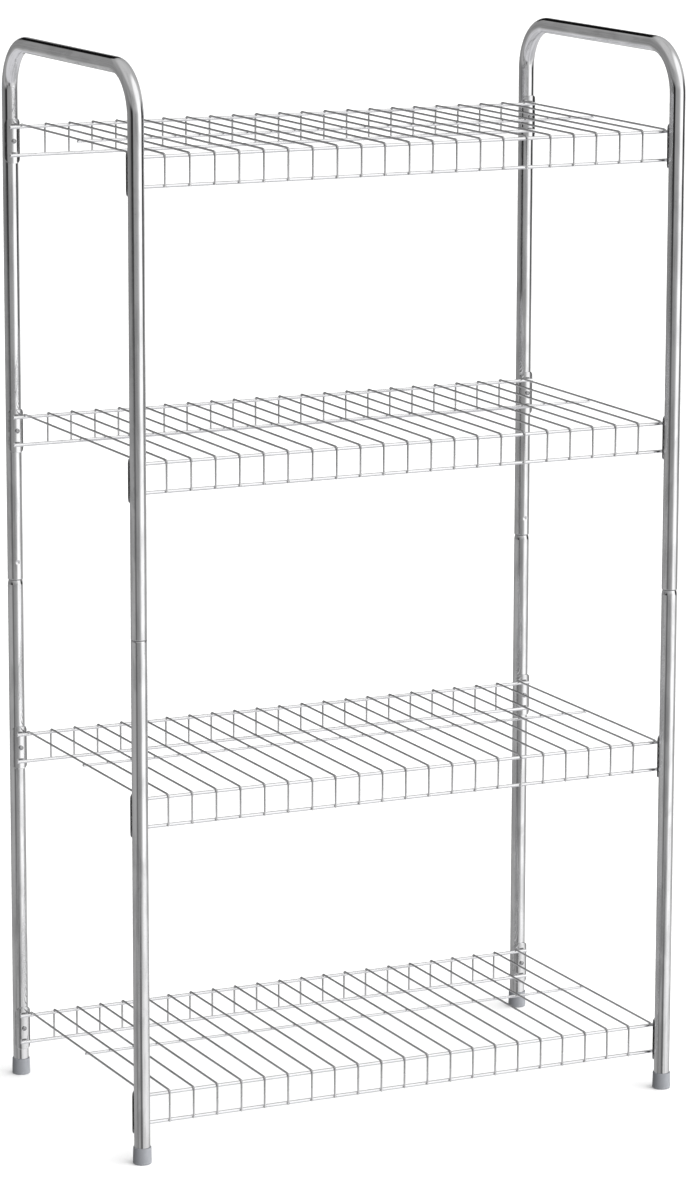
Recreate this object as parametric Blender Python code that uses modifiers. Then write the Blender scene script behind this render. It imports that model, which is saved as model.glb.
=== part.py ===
"""Four-tier shoe rack in chromed steel: two tube end frames and four welded wire shelves.

+Z is up, +Y is the back and +X is the right. The origin lies on the floor, in the middle of the footprint.
Each end frame is an upper inverted-U tube that plugs onto two straight lower posts. Each shelf is one
resistance-welded wire grid whose long wires cross four curved brackets, and a screw through each bracket
holds it to its post. Touching pieces keep a small gap, so that every piece stays a separate solid.
"""

import math

import bmesh
import bpy
from mathutils import Matrix, Vector

# Driving dimensions, in metres.
POST_SPACING_X = 0.584  # between the centre lines of the left and right posts
POST_SPACING_Y = 0.326  # between the centre lines of the front and back posts
RACK_HEIGHT = 1.085
GAP = 0.0003  # between touching pieces

TUBE_RADIUS = 0.008
TUBE_WALL = 0.0012
TUBE_SIDES = 12
BEND_RADIUS = 0.048  # of the tube's centre line, three tube diameters
BEND_STEPS = 5

SEAM_HEIGHT = 0.528  # where the upper frame ends on the lower posts
SPIGOT_LENGTH = 0.026  # swaged end of a lower post inside the upper frame
SPIGOT_WALL = 0.001
SWAGE_LENGTH = 0.005  # taper from the full tube to the spigot, just below the seam
DIMPLE_ABOVE_SEAM = 0.018
DIMPLE_DEPTH = 0.0007
DIMPLE_BALL_RADIUS = 0.0035
DIMPLE_BALL_SEGMENTS = 8
DIMPLE_BALL_RINGS = 16

SHELF_HEIGHTS = (0.065, 0.366, 0.697, 0.992)  # centres of the upper long wires, bottom shelf first
LIP_HEIGHT = 0.0284  # between the upper and lower long wires
LONG_WIRE_RADIUS = 0.00175
MIDDLE_WIRE_RADIUS = 0.0014
CROSS_WIRE_RADIUS = 0.00105
WELD_DEPTH = 0.0004  # how far crossing wires sink into each other
CROSS_WIRE_PITCH = 0.02582
PITCHES_TO_END_WIRE = 11  # from the middle of the shelf
LONG_WIRE_PAST_POST = 0.005  # beyond the post's centre line
MIDDLE_WIRE_PAST_END = 0.0015  # beyond the end wires
END_WIRE_TIP_FROM_POST = 0.0078  # in depth, to the post's centre line
END_WIRE_TIP_DROP = 0.0026
END_WIRE_TIP_RUN = 0.0035
LEG_BELOW_LOWER_WIRE = 0.0014
LONG_WIRE_SIDES = 6
CROSS_WIRE_SIDES = 4

BRACKET_HEIGHT = 0.045
BRACKET_HALF_ANGLE = 60.0  # how far the plate wraps round the post, each way, in degrees
BRACKET_CORNER = 0.007
BRACKET_THICKNESS = 0.0015
BRACKET_COLUMNS = 8

SCREW_HEAD_RADIUS = 0.0025
SCREW_HEAD_HEIGHT = 0.0018
SCREW_SHANK_RADIUS = 0.0015
SCREW_LENGTH = 0.009
SCREW_STEPS = 8
SCREW_DOME = ((0.6, 0.85), (1.0, 0.35))  # shares of the head's radius and height

FOOT_HEIGHT = 0.017
FOOT_FLOOR = 0.003
FOOT_TOP_RADIUS = 0.009
FOOT_BOTTOM_RADIUS = 0.00935
FOOT_EDGE_RADIUS = 0.0015
FOOT_EDGE_STEPS = 2
MERGE_DISTANCE = 0.00001
SHARP_ANGLE = 40.0  # a crease sharper than this many degrees stays hard

# Places worked out from the driving dimensions.
CORNERS = {
    "front_left": (-1, -1),
    "front_right": (1, -1),
    "back_left": (-1, 1),
    "back_right": (1, 1),
}
HALF_X = POST_SPACING_X / 2
HALF_Y = POST_SPACING_Y / 2
BORE_RADIUS = TUBE_RADIUS - TUBE_WALL
SPIGOT_RADIUS = BORE_RADIUS - GAP
HOLE_RADIUS = SCREW_SHANK_RADIUS + GAP
SCREW_HOLE_START = TUBE_RADIUS / 4  # from the post's centre line, inside the bore
SCREW_HOLE_END = TUBE_RADIUS * 7 / 4  # past the bracket
BRACKET_INNER_RADIUS = TUBE_RADIUS + GAP
BRACKET_OUTER_RADIUS = BRACKET_INNER_RADIUS + BRACKET_THICKNESS
LONG_WIRE_Y = HALF_Y - BRACKET_OUTER_RADIUS - GAP - LONG_WIRE_RADIUS
CROSS_WIRE_OFFSET = LONG_WIRE_RADIUS + CROSS_WIRE_RADIUS - WELD_DEPTH
MIDDLE_WIRE_DROP = CROSS_WIRE_RADIUS + MIDDLE_WIRE_RADIUS - WELD_DEPTH
END_WIRE_X = PITCHES_TO_END_WIRE * CROSS_WIRE_PITCH
UPPER_SHELF_COUNT = 2  # shelves that hang on the upper frames


def clear_scene():
    for item in list(bpy.data.objects):
        bpy.data.objects.remove(item, do_unlink=True)


def new_collection(name):
    collection = bpy.data.collections.new(name)
    bpy.context.scene.collection.children.link(collection)
    return collection


def new_material(name, colour, roughness, metallic):
    material = bpy.data.materials.new(name)
    material.use_nodes = True
    shader = material.node_tree.nodes["Principled BSDF"]
    shader.inputs["Base Color"].default_value = (*colour, 1.0)
    shader.inputs["Roughness"].default_value = roughness
    shader.inputs["Metallic"].default_value = metallic
    return material


def chrome_tube_material(name):
    return new_material(name + "_chrome", (0.77, 0.78, 0.80), 0.08, 1.0)


def chrome_wire_material(name):
    return new_material(name + "_chrome_wire", (0.72, 0.73, 0.75), 0.12, 1.0)


def bracket_material(name):
    return new_material(name + "_chrome_plate", (0.74, 0.75, 0.77), 0.12, 1.0)


def screw_material(name):
    return new_material(name + "_chrome_screw", (0.70, 0.71, 0.73), 0.15, 1.0)


def foot_material(name):
    return new_material(name + "_grey_plastic", (0.31, 0.33, 0.36), 0.5, 0.0)


def shade_smooth(mesh):
    mesh.shade_smooth()
    mesh.set_sharp_from_angle(angle=math.radians(SHARP_ANGLE))


def mesh_object(name, mesh, collection, material=None):
    item = bpy.data.objects.new(name, mesh)
    collection.objects.link(item)
    if material:
        mesh.materials.clear()
        mesh.materials.append(material)
    return item


def add_cutters(item, name, cutters, collection):
    """Cuts item with the closed bodies of one bmesh, which lie in world space."""
    mesh = bpy.data.meshes.new(name)
    cutters.to_mesh(mesh)
    cutters.free()
    cutter = mesh_object(name, mesh, collection)
    cutter.hide_render = True
    cutter.display_type = "WIRE"
    cut = item.modifiers.new("cut", "BOOLEAN")
    cut.operation = "DIFFERENCE"
    cut.solver = "EXACT"
    cut.object = cutter


def arc(centre, radius, start, end, steps):
    """Points on an arc about (y, z), from one angle to the other, both ends included."""
    points = []
    for step in range(steps + 1):
        angle = math.radians(start + (end - start) * step / steps)
        points.append((centre[0] + radius * math.cos(angle), centre[1] + radius * math.sin(angle)))
    return points


def path_mesh(name, points, radius, sides, capped):
    """The mesh of a round bar or, uncapped, of an open tube along points."""
    curve = bpy.data.curves.new(name, "CURVE")
    curve.dimensions = "3D"
    curve.bevel_depth = radius
    curve.bevel_resolution = (sides - 4) // 2
    curve.use_fill_caps = capped
    spline = curve.splines.new("POLY")
    spline.points.add(len(points) - 1)
    for target, point in zip(spline.points, points):
        target.co = (*point, 1.0)
    guide = bpy.data.objects.new(name, curve)
    bpy.context.scene.collection.objects.link(guide)
    bpy.context.view_layer.update()
    evaluated = guide.evaluated_get(bpy.context.evaluated_depsgraph_get())
    mesh = bpy.data.meshes.new_from_object(evaluated)
    bpy.data.objects.remove(guide, do_unlink=True)
    body = bmesh.new()
    body.from_mesh(mesh)
    bmesh.ops.remove_doubles(body, verts=body.verts, dist=MERGE_DISTANCE)
    if capped:
        bmesh.ops.recalc_face_normals(body, faces=body.faces)
    body.to_mesh(mesh)
    body.free()
    return mesh


def same_area_radius(radius, sides):
    """The corner radius of a polygon with as much area as the round wire, so that it weighs the same."""
    return radius * math.sqrt(2 * math.pi / (sides * math.sin(2 * math.pi / sides)))


def turned_object(name, profile, steps, collection, material, closed):
    """A body turned about Z from (radius, height) points that run top to bottom on the outer side."""
    mesh = bpy.data.meshes.new(name)
    vertices = [(radius, 0.0, height) for radius, height in profile]
    edges = [(i, i + 1) for i in range(len(profile) - 1)]
    if closed:
        edges.append((len(profile) - 1, 0))
    mesh.from_pydata(vertices, edges, [])
    item = mesh_object(name, mesh, collection, material)
    turn = item.modifiers.new("turn", "SCREW")
    turn.axis = "Z"
    turn.angle = math.tau
    turn.steps = steps
    turn.render_steps = steps
    turn.use_smooth_shade = True
    turn.use_merge_vertices = True
    turn.merge_threshold = MERGE_DISTANCE
    return item


def screw_height(shelf_height):
    """A screw sits half way between the upper and the lower long wire."""
    return shelf_height - LIP_HEIGHT / 2


def add_screw_hole(cutters, x, side_y, height):
    """A hole through the post wall that faces the other post of the same end frame."""
    middle = HALF_Y - (SCREW_HOLE_START + SCREW_HOLE_END) / 2
    place = Matrix.Translation((x, side_y * middle, height))
    turn = Matrix.Rotation(math.radians(90), 4, "X")
    bmesh.ops.create_cone(
        cutters,
        cap_ends=True,
        segments=SCREW_STEPS,
        radius1=HOLE_RADIUS,
        radius2=HOLE_RADIUS,
        depth=SCREW_HOLE_END - SCREW_HOLE_START,
        matrix=place @ turn,
    )


def add_dimple(cutters, x, side_y):
    """The punched dimple that grips the spigot, on the same side of the post as the screws."""
    out = TUBE_RADIUS - DIMPLE_DEPTH + DIMPLE_BALL_RADIUS
    place = Matrix.Translation((x, side_y * (HALF_Y - out), SEAM_HEIGHT + DIMPLE_ABOVE_SEAM))
    turn = Matrix.Rotation(math.radians(90), 4, "X")
    bmesh.ops.create_uvsphere(
        cutters,
        u_segments=DIMPLE_BALL_SEGMENTS,
        v_segments=DIMPLE_BALL_RINGS,
        radius=DIMPLE_BALL_RADIUS,
        matrix=place @ turn,
    )


def upper_frame(name, side_x, parts, guides):
    """One inverted-U tube: two posts and the top bar that serves as a handle, bent from one length."""
    x = side_x * HALF_X
    bend_y = HALF_Y - BEND_RADIUS
    bend_z = RACK_HEIGHT - TUBE_RADIUS - BEND_RADIUS
    route = [(-HALF_Y, SEAM_HEIGHT)]
    route += arc((-bend_y, bend_z), BEND_RADIUS, 180, 90, BEND_STEPS)
    route += arc((bend_y, bend_z), BEND_RADIUS, 90, 0, BEND_STEPS)
    route.append((HALF_Y, SEAM_HEIGHT))
    points = [(x, y, z) for y, z in route]
    mesh = path_mesh(name, points, TUBE_RADIUS, TUBE_SIDES, capped=False)
    shade_smooth(mesh)
    frame = mesh_object(name, mesh, parts, chrome_tube_material(name))
    wall = frame.modifiers.new("wall", "SOLIDIFY")
    wall.thickness = TUBE_WALL
    wall.offset = -1.0
    cutters = bmesh.new()
    for side_y in (-1, 1):
        add_dimple(cutters, x, side_y)
        for height in SHELF_HEIGHTS[-UPPER_SHELF_COUNT:]:
            add_screw_hole(cutters, x, side_y, screw_height(height))
    add_cutters(frame, name + "_cutters", cutters, guides)


def lower_post(name, side_x, side_y, parts, guides):
    """A straight tube whose swaged top end plugs into the upper frame."""
    top = SEAM_HEIGHT + SPIGOT_LENGTH
    bottom = FOOT_FLOOR + GAP
    shoulder = SEAM_HEIGHT - SWAGE_LENGTH
    spigot_bore = SPIGOT_RADIUS - SPIGOT_WALL
    profile = [
        (SPIGOT_RADIUS, top),
        (SPIGOT_RADIUS, SEAM_HEIGHT),
        (TUBE_RADIUS, shoulder),
        (TUBE_RADIUS, bottom),
        (BORE_RADIUS, bottom),
        (BORE_RADIUS, shoulder),
        (spigot_bore, SEAM_HEIGHT),
        (spigot_bore, top),
    ]
    material = chrome_tube_material(name)
    post = turned_object(name, profile, TUBE_SIDES, parts, material, closed=True)
    x = side_x * HALF_X
    post.location = (x, side_y * HALF_Y, 0.0)
    cutters = bmesh.new()
    for height in SHELF_HEIGHTS[:-UPPER_SHELF_COUNT]:
        add_screw_hole(cutters, x, side_y, screw_height(height))
    add_cutters(post, name + "_cutters", cutters, guides)


def foot_cap(name, side_x, side_y, parts):
    """A moulded cup pushed over the lower end of a post, a little wider at the floor."""
    edge_centre = FOOT_BOTTOM_RADIUS - FOOT_EDGE_RADIUS
    bore = TUBE_RADIUS + GAP
    profile = [(0.0, FOOT_FLOOR), (bore, FOOT_FLOOR), (bore, FOOT_HEIGHT), (FOOT_TOP_RADIUS, FOOT_HEIGHT)]
    profile += arc((edge_centre, FOOT_EDGE_RADIUS), FOOT_EDGE_RADIUS, 0, -90, FOOT_EDGE_STEPS)
    profile.append((0.0, 0.0))
    cap = turned_object(name, profile, TUBE_SIDES, parts, foot_material(name), closed=False)
    cap.location = (side_x * HALF_X, side_y * HALF_Y, 0.0)


def wire_bodies(name, wires):
    """Joins capped wires, given as (points, radius, sides), in one mesh of separate bodies."""
    together = bmesh.new()
    for points, radius, sides in wires:
        mesh = path_mesh(name, points, same_area_radius(radius, sides), sides, capped=True)
        together.from_mesh(mesh)
        bpy.data.meshes.remove(mesh)
    mesh = bpy.data.meshes.new(name)
    together.to_mesh(mesh)
    together.free()
    return mesh


def long_wires():
    """Four lip wires and the thinner one that runs under the middle of the shelf."""
    wires = []
    end_x = HALF_X + LONG_WIRE_PAST_POST
    for side_y in (-1, 1):
        for height in (0.0, -LIP_HEIGHT):
            ends = [(side_x * end_x, side_y * LONG_WIRE_Y, height) for side_x in (-1, 1)]
            wires.append((ends, LONG_WIRE_RADIUS, LONG_WIRE_SIDES))
    middle_x = END_WIRE_X + MIDDLE_WIRE_PAST_END
    middle_z = CROSS_WIRE_OFFSET - MIDDLE_WIRE_DROP
    ends = [(side_x * middle_x, 0.0, middle_z) for side_x in (-1, 1)]
    wires.append((ends, MIDDLE_WIRE_RADIUS, LONG_WIRE_SIDES))
    return wires


def u_wire_route():
    """(y, z) points of a cross wire that lies over the long wires and turns down outside both lips.

    The bend wraps a long wire, so one straight stretch at 45 degrees touches the bend's true circle.
    """
    leg_y = LONG_WIRE_Y + CROSS_WIRE_OFFSET
    corner = CROSS_WIRE_OFFSET * (1 - math.tan(math.radians(22.5)))
    half = [
        (leg_y - corner, CROSS_WIRE_OFFSET),
        (leg_y, CROSS_WIRE_OFFSET - corner),
        (leg_y, -LIP_HEIGHT - LEG_BELOW_LOWER_WIRE),
    ]
    return [(-y, z) for y, z in reversed(half)] + half


def end_wire_route():
    """(y, z) points of the flat wire beside the brackets, its tips turned down over the lip wires."""
    tip_y = HALF_Y - END_WIRE_TIP_FROM_POST
    half = [
        (tip_y - END_WIRE_TIP_RUN, CROSS_WIRE_OFFSET),
        (tip_y, CROSS_WIRE_OFFSET - END_WIRE_TIP_DROP),
    ]
    return [(-y, z) for y, z in reversed(half)] + half


def cross_wires():
    wires = []
    for pitch in range(-PITCHES_TO_END_WIRE, PITCHES_TO_END_WIRE + 1):
        is_end = abs(pitch) == PITCHES_TO_END_WIRE
        route = end_wire_route() if is_end else u_wire_route()
        points = [(pitch * CROSS_WIRE_PITCH, y, z) for y, z in route]
        wires.append((points, CROSS_WIRE_RADIUS, CROSS_WIRE_SIDES))
    return wires


def shelf_grid_mesh(guides):
    """All the wires of one shelf, welded into one body about the height of its upper long wires."""
    grid = mesh_object("grid_long_wires", wire_bodies("grid_long_wires", long_wires()), guides)
    cross = mesh_object("grid_cross_wires", wire_bodies("grid_cross_wires", cross_wires()), guides)
    weld = grid.modifiers.new("weld", "BOOLEAN")
    weld.operation = "UNION"
    weld.solver = "EXACT"
    weld.object = cross
    bpy.context.view_layer.update()
    evaluated = grid.evaluated_get(bpy.context.evaluated_depsgraph_get())
    mesh = bpy.data.meshes.new_from_object(evaluated)
    for guide in (grid, cross):
        bpy.data.objects.remove(guide, do_unlink=True)
    shade_smooth(mesh)
    return mesh


def shelf_grid(name, mesh, height, parts):
    grid = mesh_object(name, mesh.copy(), parts, chrome_wire_material(name))
    grid.location = (0.0, 0.0, height)


def bracket_mesh(name):
    """A plate with rounded corners, wrapped round the +Y side of a post whose axis is Z."""
    plate = bmesh.new()
    bmesh.ops.create_grid(plate, x_segments=BRACKET_COLUMNS, y_segments=1, size=1.0)
    half_angle = math.radians(BRACKET_HALF_ANGLE)
    half_arc = BRACKET_OUTER_RADIUS * half_angle
    for vertex in plate.verts:
        across, along, _ = vertex.co
        into_corner = max(0.0, abs(across) * half_arc - half_arc + BRACKET_CORNER)
        cut_back = BRACKET_CORNER - math.sqrt(max(0.0, BRACKET_CORNER**2 - into_corner**2))
        angle = across * half_angle
        vertex.co = Vector(
            (
                BRACKET_INNER_RADIUS * math.sin(angle),
                BRACKET_INNER_RADIUS * math.cos(angle),
                along * (BRACKET_HEIGHT / 2 - cut_back),
            )
        )
    bmesh.ops.recalc_face_normals(plate, faces=plate.faces)
    if sum(face.normal.y for face in plate.faces) < 0:
        bmesh.ops.reverse_faces(plate, faces=plate.faces)
    mesh = bpy.data.meshes.new(name)
    plate.to_mesh(mesh)
    plate.free()
    shade_smooth(mesh)
    return mesh


def shelf_bracket(name, side_x, side_y, height, parts, guides):
    """The curved plate between a post and the ends of two long wires."""
    bracket = mesh_object(name, bracket_mesh(name), parts, bracket_material(name))
    bracket.location = (side_x * HALF_X, side_y * HALF_Y, screw_height(height))
    bracket.rotation_euler = (0.0, 0.0, math.pi if side_y > 0 else 0.0)
    plate = bracket.modifiers.new("plate", "SOLIDIFY")
    plate.thickness = BRACKET_THICKNESS
    plate.offset = 1.0
    cutters = bmesh.new()
    add_screw_hole(cutters, side_x * HALF_X, side_y, screw_height(height))
    add_cutters(bracket, name + "_cutter", cutters, guides)


def bracket_screw(name, side_x, side_y, height, parts):
    """A dome-headed screw through the bracket and the post wall, its axis along depth."""
    profile = [(0.0, SCREW_HEAD_HEIGHT)]
    profile += [(SCREW_HEAD_RADIUS * across, SCREW_HEAD_HEIGHT * up) for across, up in SCREW_DOME]
    profile += [(SCREW_HEAD_RADIUS, 0.0), (SCREW_SHANK_RADIUS, 0.0)]
    profile += [(SCREW_SHANK_RADIUS, -SCREW_LENGTH), (0.0, -SCREW_LENGTH)]
    screw = turned_object(name, profile, SCREW_STEPS, parts, screw_material(name), closed=False)
    seat = HALF_Y - BRACKET_OUTER_RADIUS - GAP
    screw.location = (side_x * HALF_X, side_y * seat, screw_height(height))
    screw.rotation_euler = (side_y * math.radians(90), 0.0, 0.0)


def build():
    clear_scene()
    parts = new_collection("tiered_shoe_rack")
    guides = new_collection("cutters")
    for side, side_x in (("left", -1), ("right", 1)):
        upper_frame("upper_frame_" + side, side_x, parts, guides)
    for corner, (side_x, side_y) in CORNERS.items():
        lower_post("lower_post_" + corner, side_x, side_y, parts, guides)
        foot_cap("foot_cap_" + corner, side_x, side_y, parts)
    grid_mesh = shelf_grid_mesh(guides)
    for number, height in enumerate(SHELF_HEIGHTS, 1):
        shelf_grid(f"shelf_grid_{number}", grid_mesh, height, parts)
        for corner, (side_x, side_y) in CORNERS.items():
            place = f"{number}_{corner}"
            shelf_bracket("shelf_bracket_" + place, side_x, side_y, height, parts, guides)
            bracket_screw("bracket_screw_" + place, side_x, side_y, height, parts)
    bpy.data.meshes.remove(grid_mesh)


build()
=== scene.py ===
"""Looks of the four-tier chromed shoe rack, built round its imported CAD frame.

Every visible piece replaces a CAD node and is placed from that node's box. Lengths are in metres, +Z is up.
Each mesh carries a point attribute with its place on the straightened tube or wire, which the materials
read, so that drawing lines follow the metal round its bends.
"""

import math
import random

import bmesh
import bpy
from mathutils import Matrix, Vector

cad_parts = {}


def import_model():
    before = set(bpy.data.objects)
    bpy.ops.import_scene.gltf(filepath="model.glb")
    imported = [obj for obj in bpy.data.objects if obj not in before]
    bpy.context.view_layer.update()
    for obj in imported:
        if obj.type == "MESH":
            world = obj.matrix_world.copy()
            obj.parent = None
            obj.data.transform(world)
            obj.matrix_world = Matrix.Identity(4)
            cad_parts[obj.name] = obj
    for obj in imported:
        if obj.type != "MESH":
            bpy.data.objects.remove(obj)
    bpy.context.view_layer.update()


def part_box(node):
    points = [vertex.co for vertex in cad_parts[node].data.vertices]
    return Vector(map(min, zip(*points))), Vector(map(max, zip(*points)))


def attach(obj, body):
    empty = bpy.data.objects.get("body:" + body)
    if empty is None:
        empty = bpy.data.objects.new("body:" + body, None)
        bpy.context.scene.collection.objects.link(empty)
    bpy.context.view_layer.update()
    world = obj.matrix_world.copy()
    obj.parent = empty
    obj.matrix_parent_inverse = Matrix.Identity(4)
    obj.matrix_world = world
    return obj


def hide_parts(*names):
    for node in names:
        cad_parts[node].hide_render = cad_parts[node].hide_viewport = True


# The CAD's own dimensions that its boxes don't give.
TUBE_WALL = 0.0012
BEND_RADIUS = 0.048
SPIGOT_RADIUS = 0.0065
SPIGOT_LENGTH = 0.026
SPIGOT_WALL = 0.001
SWAGE_LENGTH = 0.005
DIMPLE_ABOVE_SEAM = 0.018
LIP_HEIGHT = 0.0284
LONG_WIRE_RADIUS = 0.00175
MIDDLE_WIRE_RADIUS = 0.0014
CROSS_WIRE_RADIUS = 0.00105
WELD_DEPTH = 0.0004
CROSS_WIRE_PITCH = 0.02582
PITCHES_TO_END_WIRE = 11
LONG_WIRE_PAST_POST = 0.005
MIDDLE_WIRE_PAST_END = 0.0015
LONG_WIRE_FROM_POST = 0.01185
END_WIRE_TIP_FROM_POST = 0.0078
END_WIRE_TIP_RUN = 0.0035
END_WIRE_TIP_DROP = 0.0026
LEG_BELOW_LOWER_WIRE = 0.0014
BRACKET_HALF_ANGLE = math.radians(60)
BRACKET_INNER_RADIUS = 0.0083
BRACKET_THICKNESS = 0.0015
BRACKET_CORNER = 0.007
SCREW_SEAT = 0.0101
SCREW_HEAD_RADIUS = 0.0025
SCREW_HEAD_HEIGHT = 0.0018
SCREW_SHANK_RADIUS = 0.0015
SCREW_LENGTH = 0.009
FOOT_FLOOR = 0.003
FOOT_GAP = 0.0003
FOOT_TOP_RADIUS = 0.009
FOOT_EDGE_RADIUS = 0.0015

CROSS_WIRE_OFFSET = LONG_WIRE_RADIUS + CROSS_WIRE_RADIUS - WELD_DEPTH
MIDDLE_WIRE_DROP = CROSS_WIRE_RADIUS + MIDDLE_WIRE_RADIUS - WELD_DEPTH
BRACKET_OUTER_RADIUS = BRACKET_INNER_RADIUS + BRACKET_THICKNESS
CORNERS = {
    "front_left": (-1, -1),
    "front_right": (1, -1),
    "back_left": (-1, 1),
    "back_right": (1, 1),
}
SHELVES = (1, 2, 3, 4)

# Tube ends. A rim is (how far in, how far along) in rim radii. HOLD is from an edge to the ring of
# vertices beside it, which keeps the smooth shading of the edge from spreading along the tube.
RIM_RADIUS = 0.0004
FRAME_RIM = ((0.8, 0.0), (0.25, 0.3))
POST_RIM = ((0.8, 0.0), (0.2, 0.3))
BORE_RIM_SHARE = 0.4
HOLD = 0.0004
SEAM_EDGE = 0.0004
NECK_DEPTH = 0.001
NECK_CURVE = 1.3
SPIGOT_FLARE = 0.0001
# The one lower tube that is pushed almost home, with its shorter and shallower neck.
PUSHED_HOME = "front_left"
HOME_SWAGE = 0.0014
HOME_DEPTH = 0.0003

# The dimple punched into each upper tube, and the rings of vertices up the tube.
DIMPLE_DEPTH = 0.0009
DIMPLE_RADIUS = 0.0026
DIMPLE_REACH = 0.002
DIMPLE_RING_GAP = 0.0004
DIMPLE_RINGS = 9
RING_BELOW_DIMPLE = 0.006
RINGS_FROM_SEAM = 0.05
RINGS_TO_BEND = 0.01

# Wires, and the sizes of the weld spots in X, Y and Z.
WIRE_EDGE = 0.0003
WIRE_SHIFT = 0.00035
LEG_SPREAD = (-0.0003, 0.0001)
LEG_SPOT = (0.0017, 0.0008, 0.0013)
LONG_WIRE_SPOT = (0.0014, 0.0015, 0.0006)
MIDDLE_WIRE_SPOT = (0.0013, 0.0013, 0.0005)
BRACKET_SPOT = (0.0024, 0.0009, 0.0013)
BRACKET_SPOT_GAP = 0.0003

# Edges of the brackets and the screw heads.
PLATE_EDGE = 0.0006
PLATE_EDGE_STEPS = 4
PLATE_EDGE_ANGLE = 50
PLATE_MERGE = 0.00002
SCREW_HEAD_CHAMFER = 0.0002
SCREW_DOME_START = 0.0004
SCREW_EDGE_ANGLE = 35
RECESS_SIZE = (0.0030, 0.0007, 0.0018)

# How finely the pieces are made.
TUBE_SIDES = 72
TUBE_STEPS = 8
NECK_STEPS = 8
BEND_STEPS = 28
WIRE_SIDES = 14
WIRE_STEPS = 24
WIRE_BEND_STEPS = 8
FOOT_EDGE_STEPS = 8
SCREW_SIDES = 32
SCREW_DOME_STEPS = 10
PLATE_COLUMNS = 32
PLATE_ROWS = 40
BODY_EDGE_ANGLE = 40

# The point attributes that the materials read: the place on the straightened metal, how far a vertex is
# on a cross wire's leg, where light is painted, and whether it is in the joint between two tubes, where
# shade is painted.
STRAIGHT = "straight"
LEG = "leg"
SEAM_SHADE = "seam"
# Where pieces start on the straightened metal, in metres, so that no two show the same patch of grain.
FRAME_START = 4.0
POST_START = 10.0
SHELF_START = 3.0
LONG_WIRE_START = 0.7
CROSS_WIRE_START = 0.4
SEED = 11

# The photograph's viewpoint.
CAMERA_AZIMUTH = -25.3
CAMERA_ELEVATION = 11.6
CAMERA_ROLL = 0.14
CAMERA_DISTANCE = 4.8
CAMERA_TARGET = Vector((0.0029, 0.0, 0.5202))
FOCAL_LENGTH = 143.2
SENSOR = 36.0


def new_body():
    body = bmesh.new()
    body.verts.layers.float_vector.new(STRAIGHT)
    return body


def add_ring(body, centre, side, up, radius, sides, along):
    """A ring of vertices, which also keep their place on the straightened tube."""
    layer = body.verts.layers.float_vector[STRAIGHT]
    ring = []
    for step in range(sides):
        angle = math.tau * step / sides
        cosine, sine = math.cos(angle), math.sin(angle)
        vertex = body.verts.new(centre + (side * cosine + up * sine) * radius)
        vertex[layer] = (radius * cosine, radius * sine, along)
        ring.append(vertex)
    return ring


def join_rings(body, first, second):
    count = len(first)
    for step in range(count):
        after = (step + 1) % count
        body.faces.new((first[step], first[after], second[after], second[step]))


def skin(body, points, radii, side, sides, start=0.0):
    """Rings round a line that lies at right angles to side, joined one to the next."""
    rings = []
    along = start
    for index, (point, radius) in enumerate(zip(points, radii)):
        before = points[max(index - 1, 0)]
        after = points[min(index + 1, len(points) - 1)]
        if index:
            along += (point - before).length
        up = (after - before).normalized().cross(side)
        rings.append(add_ring(body, point, side, up, radius, sides, along))
    for first, second in zip(rings, rings[1:]):
        join_rings(body, first, second)
    return rings


def add_wire(body, points, radius, side, start=0.0):
    """A round wire with softened cut ends."""
    first = points[0].lerp(points[1], WIRE_EDGE / (points[1] - points[0]).length)
    last = points[-1].lerp(points[-2], WIRE_EDGE / (points[-1] - points[-2]).length)
    line = [points[0], first, *points[1:-1], last, points[-1]]
    radii = [radius] * len(line)
    radii[0] = radii[-1] = radius - WIRE_EDGE
    rings = skin(body, line, radii, side, WIRE_SIDES, start)
    body.faces.new(rings[0])
    body.faces.new(rings[-1])


def add_turned(body, profile, centre, sides, loop=False):
    """A body turned about Z from (radius, height) points; a radius of 0 is a pole."""
    layer = body.verts.layers.float_vector[STRAIGHT]
    right, back = Vector((1, 0, 0)), Vector((0, 1, 0))
    rings = []
    for radius, height in profile:
        place = centre + Vector((0, 0, height))
        if radius:
            rings.append(add_ring(body, place, right, back, radius, sides, height))
        else:
            pole = body.verts.new(place)
            pole[layer] = (0, 0, height)
            rings.append(pole)
    pairs = list(zip(rings, rings[1:]))
    if loop:
        pairs.append((rings[-1], rings[0]))
    for first, second in pairs:
        if isinstance(first, list) and isinstance(second, list):
            join_rings(body, first, second)
        else:
            pole, ring = (second, first) if isinstance(first, list) else (first, second)
            for step in range(sides):
                body.faces.new((pole, ring[step], ring[(step + 1) % sides]))


def add_blob(body, centre, size, rows=6, sides=12):
    """A small ellipsoid, the shape of a weld spot."""
    profile = [(0.0, -1.0)]
    for row in range(1, rows):
        angle = math.pi * row / rows
        profile.append((math.sin(angle), -math.cos(angle)))
    profile.append((0.0, 1.0))
    before = set(body.verts)
    add_turned(body, profile, Vector(), sides)
    for vertex in set(body.verts) - before:
        vertex.co = centre + Vector(a * b for a, b in zip(vertex.co, size))


def arc(centre, radius, start, end, steps):
    """(a, b) points on an arc, from one angle in degrees to the other."""
    points = []
    for step in range(steps + 1):
        angle = math.radians(start + (end - start) * step / steps)
        points.append((centre[0] + radius * math.cos(angle), centre[1] + radius * math.sin(angle)))
    return points


def spaced(first, last, steps):
    """Evenly spaced values or points, with both ends."""
    return [first + (last - first) * (step / steps) for step in range(steps + 1)]


def smooth(mesh, edge_angle):
    """Smooth shading, apart from edges sharper than the angle in degrees."""
    mesh.shade_smooth()
    mesh.set_sharp_from_angle(angle=math.radians(edge_angle))
    return mesh


def link(name, data):
    """A new object in the scene for a mesh, lamp or camera."""
    item = bpy.data.objects.new(name, data)
    bpy.context.scene.collection.objects.link(item)
    return item


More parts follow.
